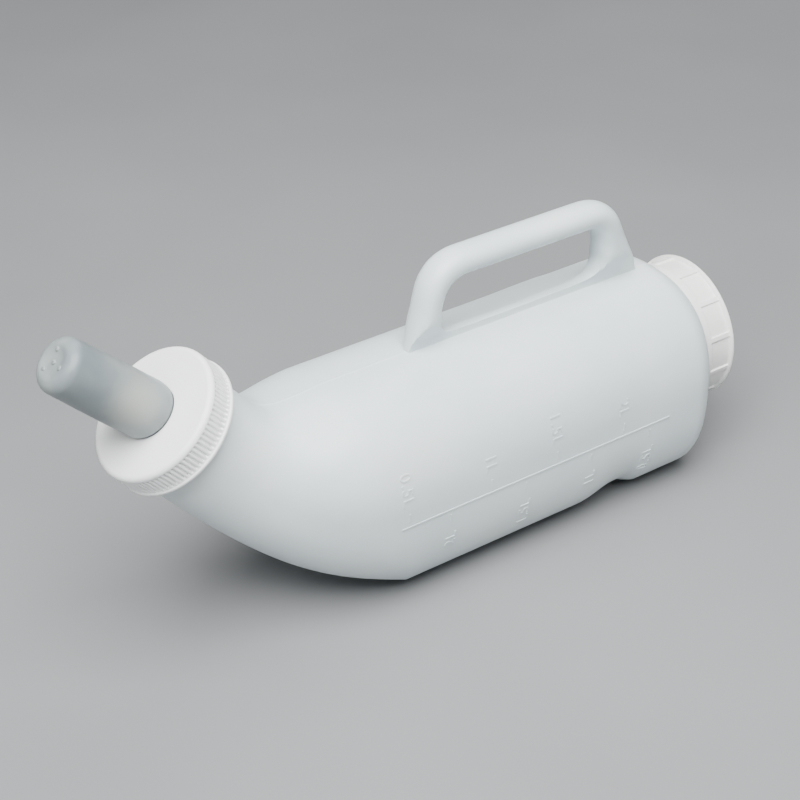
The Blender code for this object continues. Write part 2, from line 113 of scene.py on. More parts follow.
# Screw fittings
THREAD_PITCH = 0.0045
THREAD_BASE = 0.0020
THREAD_CREST = 0.0010
FIT_GAP = 0.0003
SEAT_GAP = 0.0003
SOFT_EDGE = 0.0004
THREAD_STEPS = 72
THREAD_FADE_STEPS = THREAD_STEPS / 12
THREAD_BLUNTNESS = 0.1
THREAD_SINK = 0.0004
NECK_THREAD_TURNS = 1.25
CAP_THREAD_TURNS = 1.0

FRONT_NECK_RADIUS = 0.0310
FRONT_BORE_RADIUS = 0.0285
FRONT_THREAD_CREST = 0.0323
FRONT_THREAD_START = -0.0132
FRONT_NECK_END = 0.0290
FRONT_BORE_STRAIGHT = 0.0260
COLLAR_RADIUS = 0.0360
COLLAR_LIP_RADIUS = 0.0365
COLLAR_DEPTH = 0.0166
COLLAR_FACE_WALL = 0.0025
COLLAR_BORE = 0.0332
COLLAR_THREAD_CREST = 0.0317
COLLAR_GROOVES = 90
COLLAR_GROOVE_DEPTH = 0.0013
COLLAR_EDGE = 0.0026
COLLAR_SKIRT = COLLAR_RADIUS - 0.0002
COLLAR_HOLE_GAP = FIT_GAP + 0.0001
COLLAR_LIP_TOP = 0.0017 - COLLAR_DEPTH
GROOVE_TOP = -0.0030
GROOVE_FOOT = 0.0026 - COLLAR_DEPTH
GROOVE_FADE = 0.0010
GROOVE_FULLNESS = 1.5
GROOVE_SLOPE = 5.0
GROOVE_STEPS = 8

TEAT_ROOT_RADIUS = 0.0130
TEAT_RADIUS = 0.0150
TEAT_TIP_RADIUS = 0.0142
TEAT_LENGTH = 0.0634
TEAT_LEAN = math.radians(5.4)
TEAT_LEAN_OVER = 0.0060
TEAT_WALL = 0.0024
TEAT_FLANGE_RADIUS = 0.0305
TEAT_FLANGE = 0.0025
TEAT_POINTS = 72
TEAT_SHOULDER = 0.0058
TEAT_SWELL_FROM = 0.0004
TEAT_SWELL_RISE = 0.0056
TEAT_SWELL_STEPS = 8
TEAT_POINT_GAP = 0.003
TEAT_CROWN_ANGLE = 84
TEAT_CROWN_STEPS = 12
# Outlines in (radius, height): the barrel's waist, and the hollow's middle
TEAT_BARREL = ((0.0149, 0.024), (0.0146, 0.040))
TEAT_HOLLOW_WAIST = (0.0122, 0.040)
# Outlines in (radius, depth below the tip's end): the sunk tip, and the hollow's end
TEAT_DISH_DEPTH = 0.0008
TEAT_DISH = ((0.0080, 0.0001), (0.0068, 0.0004), (0.0054, 0.0007),
             (0.0036, 0.0008), (0.0015, 0.0008), (0.0004, 0.0008))
TEAT_HOLLOW_END = ((0.0116, 0.0090), (0.0100, 0.0058), (0.0070, 0.0042))

# Milk holes, one in the middle and three round it, each in a small raised pip
PIP_CIRCLE = 0.0064
PIP_TURNS = (62, 182, 302)
PIP_CIRCLE_LIFT = 0.0003
PIP_RADIUS = 0.0011
PIP_FLAT = 0.0002
PIP_RISE = 0.6
PIP_STAND = 0.00009
PIP_ROOT = 0.0006
PIP_SLOPES = (90, 70, 45, 20, 0)
PIP_POINTS = 16
MILK_HOLE_RADIUS = 0.0003
MILK_HOLE_ENDS = (0.0020, -0.0045)
MILK_HOLE_POINTS = 10

REAR_NECK_RADIUS = 0.0366
REAR_BORE_RADIUS = 0.0340
REAR_THREAD_CREST = 0.0379
REAR_THREAD_START = -0.0150
CAP_RADIUS = 0.0410
CAP_RIM_RADIUS = 0.0420
CAP_PANEL_RADIUS = 0.0400
CAP_PANEL_END = 0.0156
CAP_DEPTH = 0.0214
CAP_END_WALL = 0.0022
CAP_BORE = 0.0389
CAP_THREAD_CREST = 0.0374
CAP_BARS = 12
CAP_BAR_PHASE = math.radians(12)
CAP_BAR_HALF = 0.0012
CAP_BAR_EASE = 0.0004
CAP_PANEL_POINTS = 10
CAP_CENTRE = 0.0008
CAP_FACE_SINK = 0.0008
# The step from the sunk face up to the rim, as (distance inside the skirt's radius, depth)
CAP_FACE_STEP = ((0.0054, 0.0008), (0.0049, 0.0007), (0.0046, 0.0002), (0.0042, 0.0))
SEAL_THICKNESS = 0.0016
SEAL_OUTER = 0.0370
SEAL_INNER = 0.0325
SEAL_STEPS = 120

# Moulded scale, on the near side
SCALE_LINE = -0.0114
SCALE_ENDS = (0.2385, 0.0600)
SCALE_RAISE = 0.00032
SCALE_ROOT = 0.0006
LINE_HALF = 0.00045
LETTER_HEIGHT = 0.0070
LETTER_SPACING = 1.12
LETTER_DEPTH = 0.001
CAPITAL_SHARE = 0.73
UPPER_LABELS = (("0.5L", 0.2337), ("1L", 0.1820), ("1.5L", 0.1387), ("2L", 0.0931))
LOWER_LABELS = (("2L", 0.2082), ("1.5L", 0.1595), ("1L", 0.1154), ("0.5L", 0.0741))
UPPER_LABEL_FOOT = 0.0130
LOWER_LABEL_HEAD = -0.0150
TICK_LENGTH = 0.0050
TICK_HALF = 0.0004
TICK_GAP = 0.003
BAR_STEP = 0.002
MERGE_DISTANCE = 0.000002
OFF_BODY = 0.2

# Colours in linear light; a table of tones gives (share of the cloudiness, colour)
POLYETHYLENE_TONES = ((0.30, (0.600, 0.685, 0.710)), (0.55, (0.660, 0.735, 0.755)),
                      (0.75, (0.710, 0.765, 0.770)))
COLLAR_TONES = ((0.30, (0.89, 0.90, 0.90)), (0.70, (0.93, 0.94, 0.935)))
CAP_TONES = ((0.30, (0.81, 0.81, 0.785)), (0.70, (0.86, 0.86, 0.84)))
SILICONE_TONES = ((0.32, (0.21, 0.25, 0.27)), (0.52, (0.26, 0.30, 0.31)), (0.72, (0.34, 0.37, 0.365)))
# Painted glow on the teat: a pale warm patch near its root that stands in for light coming through the
# rubber
SILICONE_PAINTED_GLOW = (0.56, 0.575, 0.53)
# Painted shade on the teat: a dark patch at its root beside the collar's face
SILICONE_PAINTED_SHADE = (0.24, 0.25, 0.25)
SEAL_TONES = ((0.30, (0.70, 0.69, 0.64)), (0.70, (0.78, 0.77, 0.73)))
FLOOR_TONES = ((0.3, (0.19, 0.195, 0.20)), (0.7, (0.22, 0.225, 0.23)))
EVEN_SCATTER = (1.0, 1.0, 1.0)

# Studio: each soft light's name, azimuth and elevation in degrees, distance, size and watts
LIGHTS = (
    ("key_softbox", -30, 66, 1.5, 1.3, 84),
    ("side_softbox", -75, 42, 1.6, 0.9, 9),
    ("rear_softbox", 130, 60, 1.8, 1.0, 8),
)
LIGHT_AIM_HEIGHT = 0.08
WORLD_COLOR = (0.92, 0.95, 1.0, 1.0)
WORLD_STRENGTH = 0.10
FLOOR_SIZE = 3.0
FLOOR_DROP = 0.0005

CAMERA_YAW = math.radians(33.9)
CAMERA_PITCH = math.radians(33.0)
CAMERA_ROLL = math.radians(1.03)
CAMERA_DISTANCE = 0.9446
CAMERA_AIM = (0.2008, 0.0231)
CAMERA_LENS = 81
CAMERA_SENSOR = 36


def at(ahead, height):
    return Vector((REAR_X - ahead, 0.0, AXIS_Z + height))


def smooth(t):
    t = max(0.0, min(1.0, t))
    return t * t * (3 - 2 * t)


def lerp(a, b, t):
    return a + (b - a) * t


def bezier(start, lead, trail, end, t):
    s = 1 - t
    return start * s ** 3 + lead * 3 * s * s * t + trail * 3 * s * t * t + end * t ** 3


# ---------------------------------------------------------------- mesh helpers

def object_from(mesh, name):
    bmesh.ops.recalc_face_normals(mesh, faces=mesh.faces)
    data = bpy.data.meshes.new(name)
    mesh.to_mesh(data)
    mesh.free()
    obj = bpy.data.objects.new(name, data)
    bpy.context.scene.collection.objects.link(obj)
    return obj


def skin(mesh, rings, closed=False):
    """Join rings of equal length with quads; an open skin gets an end face at either end."""
    rows = [[mesh.verts.new(point) for point in ring] for ring in rings]
    count = len(rows[0])
    following = rows[1:] + rows[:1] if closed else rows[1:]
    for near, far in zip(rows, following):
        for i in range(count):
            j = (i + 1) % count
            mesh.faces.new((near[i], near[j], far[j], far[i]))
    if not closed:
        mesh.faces.new(rows[0])
        mesh.faces.new(rows[-1])


def loft(name, rings, closed=False):
    """An object skinned over rings; a closed loft joins its last ring to its first."""
    mesh = bmesh.new()
    skin(mesh, rings, closed)
    return object_from(mesh, name)


def stand(obj, origin, axis):
    """Move a piece made about its own Z so that Z lies along an axis through a point."""
    turn = axis.to_track_quat("Z", "Y").to_matrix().to_4x4()
    obj.data.transform(Matrix.Translation(origin) @ turn)
    return obj


def combine(obj, tools, operation):
    """Cut or join with each tool in turn, and remove the tools."""
    for tool in tools:
        modifier = obj.modifiers.new(tool.name, "BOOLEAN")
        modifier.operation = operation
        modifier.solver = "EXACT"
        modifier.object = tool
    bpy.context.view_layer.update()
    evaluated = obj.evaluated_get(bpy.context.evaluated_depsgraph_get())
    finished = bpy.data.meshes.new_from_object(evaluated)
    obj.modifiers.clear()
    old = obj.data
    obj.data = finished
    bpy.data.meshes.remove(old)
    for tool in tools:
        bpy.data.objects.remove(tool, do_unlink=True)


def dress(obj, finish, angle):
    """Give a piece its material, smooth shading with sharp creases, and larger faces' normals."""
    obj.data.materials.clear()
    obj.data.materials.append(finish)
    obj.data.shade_smooth()
    obj.data.set_sharp_from_angle(angle=math.radians(angle))
    weighted = obj.modifiers.new("even_normals", "WEIGHTED_NORMAL")
    weighted.keep_sharp = True
    weighted.weight = 50


def even_angles(count):
    return [2 * math.pi * i / count for i in range(count)]


def about_z(angle, radius, height):
    return radius * math.cos(angle), radius * math.sin(angle), height


def turned(name, outline, steps):
    """A ring turned about Z from a closed outline of (radius, height) points."""
    rings = [[about_z(angle, *point) for point in outline] for angle in even_angles(steps)]
    return loft(name, rings, closed=True)


def turned_disc(name, rows, angles):
    """A solid turned about Z; each row is a function that gives (radius, height) at an angle."""
    return loft(name, [[about_z(angle, *row(angle)) for angle in angles] for row in rows])


def plain_row(radius, height):
    """A row of one radius all the way round."""
    return lambda angle: (radius, height)


def arc(centre, radius, start, end, steps):
    """Points of an arc in (radius, height), from one angle in degrees to another."""
    points = []
    for i in range(steps + 1):
        angle = math.radians(lerp(start, end, i / steps))
        points.append((centre[0] + radius * math.cos(angle),
                       centre[1] + radius * math.sin(angle)))
    return points


def spread(points, gap):
    """Add points along an outline so that no step is longer than the gap."""
    dense = [points[0]]
    for start, end in zip(points, points[1:]):
        cuts = max(1, math.ceil(math.dist(start, end) / gap))
        dense += [(lerp(start[0], end[0], i / cuts), lerp(start[1], end[1], i / cuts))
                  for i in range(1, cuts + 1)]
    return dense


def thread_ridge(name, root, crest, low_end, turns):
    """A right-hand helical ridge about Z, rooted in its wall and fading out at both ends."""
    steps = round(turns * THREAD_STEPS)
    rings = []
    for i in range(steps + 1):
        angle = 2 * math.pi * i / THREAD_STEPS
        height = low_end + THREAD_PITCH * i / THREAD_STEPS
        share = smooth(min(i, steps - i) / THREAD_FADE_STEPS + THREAD_BLUNTNESS)
        outer = root + (crest - root) * share
        corners = ((root, -THREAD_BASE), (outer, -THREAD_CREST),
                   (outer, THREAD_CREST), (root, THREAD_BASE))
        rings.append([about_z(angle, radius, height + offset / 2) for radius, offset in corners])
    return loft(name, rings)


# ---------------------------------------------------------------- body

def ring_angles():
    """Even angles round a section, with closer ones beside the parting line, above and below."""
    edge = PARTING_ANGLES[-1]
    quarter_count = RING_POINTS // 4
    angles = []
    for pole in (math.pi / 2, 3 * math.pi / 2):
        angles += [pole - a for a in reversed(PARTING_ANGLES[1:])]
        angles += [pole + a for a in PARTING_ANGLES]
        for i in range(1, 2 * quarter_count):
            angles.append(pole + edge + (math.pi - 2 * edge) * i / (2 * quarter_count))
    return sorted(a % (2 * math.pi) for a in angles)


RING_ANGLES = ring_angles()


def settle(value):
    """Ease a value that passes 1 down to 1, for a nearly flat base without a hard edge."""
    return (value + 1 - math.hypot(value - 1, BASE_EASE)) / 2


def section(top, bottom, half_width, upper=2.0, lower=2.0, flattening=0.0, ridge=0.0):
    """A closed ring through two points of the parting plane; 2 is round, and more is squarer."""
    centre = (top + bottom) / 2
    rise = (top - bottom) / 2
    ring = []
    for angle in RING_ANGLES:
        c = math.cos(angle)
        s = math.sin(angle)
        power = upper if s > 0 else lower
        reach = (abs(c) ** power + abs(s) ** power) ** (-1 / power)
        up = s * reach
        if up < 0 and flattening:
            up = -settle(-up * (1 + flattening)) / settle(1 + flattening)
        offset = min(abs(angle - math.pi / 2), abs(angle - 3 * math.pi / 2))
        swell = ridge * smooth(1 - offset / PARTING_ANGLES[2])
        sideways = ACROSS * c * reach * half_width
        ring.append(centre + sideways + rise * up * (1 + swell / rise.length))
    return ring


def circle(centre, up, radius):
    return section(centre + up * radius, centre - up * radius, radius)


def bend_sections(wall, ridge):
    """Rings that carry the round tilted neck into the wide level body."""
    neck = COLLAR_FACE - NECK_AXIS * FRONT_NECK_END
    radius = FRONT_NECK_RADIUS
    top = neck + NECK_UP * radius
    bottom = neck - NECK_UP * radius
    back = at(BACK_START, BODY_TOP)
    belly = at(BELLY_START, BODY_BOTTOM)
    back_trail = Vector((BEND_TOP_TRAIL[0], 0, BEND_TOP_TRAIL[1]))
    low_direction = Vector((math.cos(BEND_LOW_SLOPE), 0, -math.sin(BEND_LOW_SLOPE)))
    belly_trail = low_direction * BEND_LOW_TRAIL
    rings = []
    for i in range(BEND_STATIONS + 1):
        t = i / BEND_STATIONS
        upper = bezier(top, top - NECK_AXIS * BEND_TOP_LEAD, back - back_trail, back, t)
        lower = bezier(bottom, bottom - NECK_AXIS * BEND_LOW_LEAD, belly - belly_trail, belly, t)
        width = lerp(radius, BODY_HALF_WIDTH, smooth(t))
        across = (upper - lower).normalized() * wall
        top_squareness = lerp(2, TOP_SQUARENESS, t)
        low_squareness = lerp(2, LOW_SQUARENESS, t ** BEND_SQUARING)
        rings.append(section(upper - across, lower + across, width - wall,
                             top_squareness, low_squareness, BODY_FLATTENING * t, ridge))
    return rings


def recess_lift(ahead):
    """How far the underside rises in the finger recess across it."""
    front, flat_front, flat_rear, rear = RECESS_ENDS
    rise = smooth((front - ahead) / (front - flat_front))
    fall = smooth((ahead - rear) / (flat_rear - rear))
    return RECESS_DEPTH * rise * fall


def level_section(ahead_top, ahead_low, inset, ridge):
    """A ring of the wide level body, moved inwards, which leans if its ends' stations differ."""
    top = at(ahead_top, BODY_TOP - inset)
    bottom = at(ahead_low, BODY_BOTTOM + inset + recess_lift(ahead_low))
    return section(top, bottom, BODY_HALF_WIDTH - inset,
                   TOP_SQUARENESS, LOW_SQUARENESS, BODY_FLATTENING, ridge)


def body_sections(wall, front_radius, rear_radius, overrun, ridge=0.0):
    """Every ring from the front mouth to the rear mouth, moved inwards by the wall."""
    mouth = COLLAR_FACE_WALL + TEAT_FLANGE + 2 * SEAT_GAP
    rings = [circle(COLLAR_FACE - NECK_AXIS * (mouth - overrun), NECK_UP, front_radius)]
    if wall:
        rings.append(circle(COLLAR_FACE - NECK_AXIS * FRONT_BORE_STRAIGHT, NECK_UP, front_radius))
    rings += bend_sections(wall, ridge)
    stop = REAR_WALL + wall + REAR_ROUNDING
    for i in range(1, BODY_STATIONS):
        t = i / BODY_STATIONS
        rings.append(level_section(lerp(BACK_START, stop, t), lerp(BELLY_START, stop, t), wall, ridge))
    for i in range(REAR_ROUNDING_STEPS + 1):
        angle = math.pi / 2 * i / REAR_ROUNDING_STEPS
        inset = REAR_ROUNDING * (1 - math.cos(angle))
        ahead = REAR_WALL + wall + REAR_ROUNDING * (1 - math.sin(angle))
        rings.append(level_section(ahead, ahead, wall + inset, ridge))
    rings.append(circle(at(REAR_WALL + wall, 0), UP, rear_radius))
    rear_mouth = CAP_END_WALL + SEAL_THICKNESS + 2 * SEAT_GAP
    rings.append(circle(at(rear_mouth - overrun, 0), UP, rear_radius))
    return rings


def rounded_loop(corners, rounding):
    """An outline with four corners, each eased by a curve from one of its sides to the other."""
    corners = [Vector(corner) for corner in corners]
    eases = []
    for i, corner in enumerate(corners):
        before = (corners[i - 1] - corner).normalized() * rounding[i][0]
        after = (corners[(i + 1) % 4] - corner).normalized() * rounding[i][1]
        eases.append((corner + before, corner, corner + after))
    points = []
    for i, (start, corner, end) in enumerate(eases):
        for k in range(LOOP_CORNER_STEPS):
            t = k / LOOP_CORNER_STEPS
            points.append(start * (1 - t) ** 2 + corner * 2 * t * (1 - t) + end * t ** 2)
        following = eases[(i + 1) % 4][0]
        for k in range(LOOP_SIDE_STEPS[i]):
            points.append(end.lerp(following, k / LOOP_SIDE_STEPS[i]))
    return points


def handle_stations():
    """Facing points on the slot's outline and the handle's, all the way round the slot."""
    slot = rounded_loop(SLOT_OUTLINE, SLOT_ROUNDING)
    return list(zip(slot, rounded_loop(HANDLE_OUTLINE, HANDLE_ROUNDING)))


def edge_rounding(distance, depth):
    """How full the handle is at a distance from its edge, from 0 to 1."""
    near = 1 - min(1.0, distance / depth)
    return (1 - near ** HANDLE_SQUARENESS) ** (1 / HANDLE_SQUARENESS)


def pinch(height):
    """Half of the width that the mould leaves above the body's crease."""
    above = height - PINCH_FROM
    return PINCH_HALF + PINCH_SLOPE * (above + math.hypot(above, PINCH_EASE)) / 2


def handle_half_width(inner, outer, point):
    depth = min(HANDLE_HALF_DEPTH, (outer - inner).length / 2)
    edge = min((point - inner).length, (outer - point).length)
    full = HANDLE_HALF_WIDTH * edge_rounding(edge, depth)
    limit = pinch(point.y)
    return max(0.0, (full + limit - math.hypot(full - limit, WIDTH_EASE)) / 2)


def handle_loop():
    """The handle and the ridge below its slot, as one ring with a moulded section."""
    rings = []
    for inner, outer in handle_stations():
        near = []
        for k in range(LOOP_HALF_POINTS + 1):
            share = (1 - math.cos(math.pi * k / LOOP_HALF_POINTS)) / 2
            point = inner.lerp(outer, share)
            near.append((point, handle_half_width(inner, outer, point)))
        ring = [at(*point) - ACROSS * half for point, half in near]
        ring += [at(*point) + ACROSS * half for point, half in reversed(near[1:-1])]
        rings.append(ring)
    return loft("handle", rings, closed=True)


def handle_bore():
    """The hollow inside the bar and legs, narrow where the mould pinches them, open to the body."""
    stations = handle_stations()
    rear_end = len(stations) - LOOP_SIDE_STEPS[3] - LOOP_CORNER_STEPS
    stations = stations[LOOP_CORNER_STEPS:rear_end + 1]
    dive = Vector((0, -HANDLE_BORE_DIVE))
    front_foot = [(inner + dive, outer + dive) for inner, outer in stations[:1]]
    rear_foot = [(inner + dive, outer + dive) for inner, outer in stations[-1:]]
    deep = HANDLE_HALF_DEPTH - HANDLE_WALL
    rings = []
    for inner, outer in front_foot + stations + rear_foot:
        toward = (outer - inner).normalized()
        ring = []
        for angle in even_angles(HANDLE_BORE_POINTS):
            point = (inner + outer) / 2 + toward * deep * math.cos(angle)
            wide = max(HANDLE_BORE_MIN, min(HANDLE_HALF_WIDTH, pinch(point.y)) - HANDLE_WALL)
            ring.append(at(*point) + ACROSS * wide * math.sin(angle))
        rings.append(ring)
    return loft("handle_bore", rings)


def make_body(finish):
    """The hollow body, its handle and its threads; gives the plain shell's surface for the scale."""
    outside = body_sections(0.0, FRONT_NECK_RADIUS, REAR_NECK_RADIUS, 0.0, PARTING_RIDGE)
    body = loft("bottle_body_shell", outside)
    front = thread_ridge("front_thread", FRONT_NECK_RADIUS - THREAD_SINK, FRONT_THREAD_CREST,
                         FRONT_THREAD_START, NECK_THREAD_TURNS)
    stand(front, COLLAR_FACE, NECK_AXIS)
    rear = thread_ridge("rear_thread", REAR_NECK_RADIUS - THREAD_SINK, REAR_THREAD_CREST,
                        REAR_THREAD_START, NECK_THREAD_TURNS)
    stand(rear, at(0, 0), OUTWARD)
    surface = BVHTree.FromObject(body, bpy.context.evaluated_depsgraph_get())
    combine(body, [handle_loop(), front, rear], "UNION")
    inside = body_sections(BODY_WALL, FRONT_BORE_RADIUS, REAR_BORE_RADIUS, HOLLOW_OVERRUN)
    combine(body, [loft("body_hollow", inside), handle_bore()], "DIFFERENCE")
    dress(body, finish, 32)
    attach(body, "bottle")
    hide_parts("bottle_body")
    return surface


# ---------------------------------------------------------------- moulded scale

def press_on(mesh, surface):
    """Lay flat marks, drawn with x ahead, y height and z relief, on the near side of the body."""
    for vert in mesh.verts:
        ahead, height, relief = vert.co
        start = at(ahead, height) - ACROSS * OFF_BODY
        point, normal, _, _ = surface.ray_cast(start, ACROSS)
        vert.co = point + normal * (SCALE_RAISE if relief > 0 else -SCALE_ROOT)


def bar(mesh, low, high):
    """A raised bar between two corners in (ahead, height), split so that it can follow a curve."""
    run = [high[i] - low[i] for i in (0, 1)]
    cuts = [max(1, math.ceil(abs(run[i]) / BAR_STEP)) for i in (0, 1)]
    long = 0 if cuts[0] >= cuts[1] else 1
    rings = []
    for i in range(cuts[long] + 1):
        spot = lerp(low[long], high[long], i / cuts[long])
        ring = []
        for side, relief in ((low, -1), (low, 1), (high, 1), (high, -1)):
            other = side[1 - long]
            ring.append((spot, other, relief) if long == 0 else (other, spot, relief))
        rings.append(ring)
    skin(mesh, rings)


def label(mesh, words, ahead, foot, upward):
    """One capacity reading, set along the bottle's height."""
    curve = bpy.data.curves.new("label", "FONT")
    curve.body = words
    curve.size = LETTER_HEIGHT / CAPITAL_SHARE
    curve.extrude = LETTER_DEPTH
    curve.resolution_u = 3
    curve.space_character = LETTER_SPACING
    holder = bpy.data.objects.new("label", curve)
    bpy.context.scene.collection.objects.link(holder)
    bpy.context.view_layer.update()
    evaluated = holder.evaluated_get(bpy.context.evaluated_depsgraph_get())
    text = bpy.data.meshes.new_from_object(evaluated)
    width = max(v.co.x for v in text.vertices)
    bpy.data.objects.remove(holder, do_unlink=True)
    start = len(mesh.verts)
    mesh.from_mesh(text)
    mesh.verts.ensure_lookup_table()
    for vert in mesh.verts[start:]:
        x, y, z = vert.co
        if upward:
            vert.co = (ahead + LETTER_HEIGHT / 2 - y, foot + width - x, z)
        else:
            vert.co = (ahead - LETTER_HEIGHT / 2 + y, foot - width + x, z)
    bpy.data.meshes.remove(text)


def make_scale(finish, surface):
    """The raised capacity scale, as low relief rooted in the body's near side."""
    mesh = bmesh.new()
    upper_tick = SCALE_LINE + TICK_GAP
    for words, ahead in UPPER_LABELS:
        label(mesh, words, ahead, SCALE_LINE + UPPER_LABEL_FOOT, True)
        bar(mesh, (ahead - TICK_HALF, upper_tick), (ahead + TICK_HALF, upper_tick + TICK_LENGTH))
    lower_tick = SCALE_LINE - TICK_GAP
    for words, ahead in LOWER_LABELS:
        label(mesh, words, ahead, SCALE_LINE + LOWER_LABEL_HEAD, False)
        bar(mesh, (ahead - TICK_HALF, lower_tick - TICK_LENGTH), (ahead + TICK_HALF, lower_tick))
    bmesh.ops.remove_doubles(mesh, verts=mesh.verts, dist=MERGE_DISTANCE)
    bar(mesh, (SCALE_ENDS[1], SCALE_LINE - LINE_HALF), (SCALE_ENDS[0], SCALE_LINE + LINE_HALF))
    press_on(mesh, surface)
    scale = object_from(mesh, "volume_scale")
    dress(scale, finish, 40)
    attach(scale, "bottle")


# ---------------------------------------------------------------- teat

def teat_station(height):
    """Where the teat's axis is at a height above the collar's face, and its up direction there."""
    bend = TEAT_LEAN * smooth(height / TEAT_LEAN_OVER)
    lean = TEAT_LEAN * (1 if height > 0 else 0)
    along = NECK_AXIS * math.cos(lean) - NECK_UP * math.sin(lean)
    up = NECK_UP * math.cos(bend) + NECK_AXIS * math.sin(bend)
    return COLLAR_FACE + along * height, up


def teat_solid(name, outline):
    rings = []
    for radius, height in outline:
        centre, up = teat_station(height)
        rings.append([centre + up * radius * math.sin(angle) + ACROSS * radius * math.cos(angle)
                      for angle in even_angles(TEAT_POINTS)])
    return loft(name, rings)


def teat_pip(index, place, axis):
    """A small raised nub round a milk hole."""
    rows = []
    for slope in PIP_SLOPES:
        radius = PIP_RADIUS * math.cos(math.radians(slope)) + PIP_FLAT
        height = PIP_RADIUS * PIP_RISE * math.sin(math.radians(slope)) + PIP_STAND
        rows.append(plain_row(radius, height))
    rows.append(plain_row(PIP_RADIUS + PIP_FLAT, -PIP_ROOT))
    pip = turned_disc(f"pip_{index}", rows, even_angles(PIP_POINTS))
    return stand(pip, place, axis)


def teat_outline(seat):
    """The outside in (radius, height), from the flange's inner face to the middle of the tip."""
    flange = [(TEAT_FLANGE_RADIUS - SOFT_EDGE, seat - TEAT_FLANGE),
              (TEAT_FLANGE_RADIUS, seat - TEAT_FLANGE + SOFT_EDGE),
              (TEAT_FLANGE_RADIUS, seat - SOFT_EDGE), (TEAT_FLANGE_RADIUS - SOFT_EDGE, seat)]
    root = [(TEAT_ROOT_RADIUS + 0.0010, seat), (TEAT_ROOT_RADIUS, seat + 0.0008),
            (TEAT_ROOT_RADIUS, TEAT_SWELL_FROM)]
    swell = []
    for i in range(1, TEAT_SWELL_STEPS + 1):
        t = i / TEAT_SWELL_STEPS
        radius = lerp(TEAT_ROOT_RADIUS, TEAT_RADIUS, math.sin(t * math.pi / 2))
        swell.append((radius, TEAT_SWELL_FROM + TEAT_SWELL_RISE * t * t))
    crown_foot = TEAT_LENGTH - TEAT_SHOULDER
    side = spread([swell[-1], *TEAT_BARREL, (TEAT_TIP_RADIUS, crown_foot)], TEAT_POINT_GAP)[1:]
    crown = arc((TEAT_TIP_RADIUS - TEAT_SHOULDER, crown_foot), TEAT_SHOULDER,
                0, TEAT_CROWN_ANGLE, TEAT_CROWN_STEPS)[1:]
    dish = [(radius, TEAT_LENGTH - depth) for radius, depth in TEAT_DISH]
    return flange + root + swell + side + crown + dish


def hollow_outline(seat):
    """The inside in (radius, height), from below the flange to under the tip."""
    bore = TEAT_ROOT_RADIUS - TEAT_WALL
    outline = [(bore, seat - TEAT_FLANGE - 0.002), (bore, 0.001), (TEAT_RADIUS - TEAT_WALL, 0.007)]
    outline.append(TEAT_HOLLOW_WAIST)
    outline += [(radius, TEAT_LENGTH - depth) for radius, depth in TEAT_HOLLOW_END]
    return spread(outline, TEAT_POINT_GAP)


def make_teat(finish):
    """The hollow teat, with its flange under the collar and its milk holes cut through the pips."""
    seat = -COLLAR_FACE_WALL - SEAT_GAP
    teat = teat_solid("teat_rubber", teat_outline(seat))
    hollow = teat_solid("teat_hollow", hollow_outline(seat))
    centre, up = teat_station(TEAT_LENGTH - TEAT_DISH_DEPTH)
    axis = up.cross(ACROSS)
    spots = [(0.0, 0.0, 0.0)]
    for turn in PIP_TURNS:
        angle = math.radians(turn)
        spots.append((PIP_CIRCLE * math.cos(angle), PIP_CIRCLE * math.sin(angle), PIP_CIRCLE_LIFT))
    nubs = []
    holes = [hollow]
    for index, (x, y, lift) in enumerate(spots):
        place = centre + ACROSS * x + up * y + axis * lift
        nubs.append(teat_pip(index, place, axis))
        ends = [plain_row(MILK_HOLE_RADIUS, end) for end in MILK_HOLE_ENDS]
        hole = turned_disc(f"milk_hole_{index}", ends, even_angles(MILK_HOLE_POINTS))
        holes.append(stand(hole, place, axis))
    combine(teat, nubs, "UNION")
    combine(teat, holes, "DIFFERENCE")
    dress(teat, finish, 35)
    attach(teat, "nipple")
    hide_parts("teat")


# ---------------------------------------------------------------- collar

def collar_outline():
    """The outline in (radius, height): flat face, rounded edge, skirt with groove levels, lip, bore."""
    hole = TEAT_ROOT_RADIUS + COLLAR_HOLE_GAP
    outline = [(hole, -COLLAR_FACE_WALL), (hole, -0.0006), (hole + 0.0002, -0.0002)]
    outline += spread([(hole + 0.0006, 0.0), (COLLAR_RADIUS - COLLAR_EDGE, 0.0)], 0.006)
    outline += arc((COLLAR_SKIRT - COLLAR_EDGE, -COLLAR_EDGE), COLLAR_EDGE, 84, 0, 9)
    levels = [GROOVE_TOP - GROOVE_FADE * i / 3 for i in range(4)]
    levels += [lerp(GROOVE_TOP - GROOVE_FADE, GROOVE_FOOT + GROOVE_FADE, i / 4) for i in (1, 2, 3, 4)]
    levels += [GROOVE_FOOT + GROOVE_FADE * i / 3 for i in (2, 1, 0)]
    outline += [(COLLAR_SKIRT, level) for level in levels]
    outline += [(COLLAR_SKIRT + 0.0001, COLLAR_LIP_TOP + SOFT_EDGE),
                (COLLAR_LIP_RADIUS - 0.0001, COLLAR_LIP_TOP),
                (COLLAR_LIP_RADIUS, COLLAR_LIP_TOP - SOFT_EDGE),
                (COLLAR_LIP_RADIUS, SOFT_EDGE - COLLAR_DEPTH),
                (COLLAR_LIP_RADIUS - 0.0003, -COLLAR_DEPTH)]
    return outline + [(COLLAR_BORE, -COLLAR_DEPTH), (COLLAR_BORE, -COLLAR_FACE_WALL)]


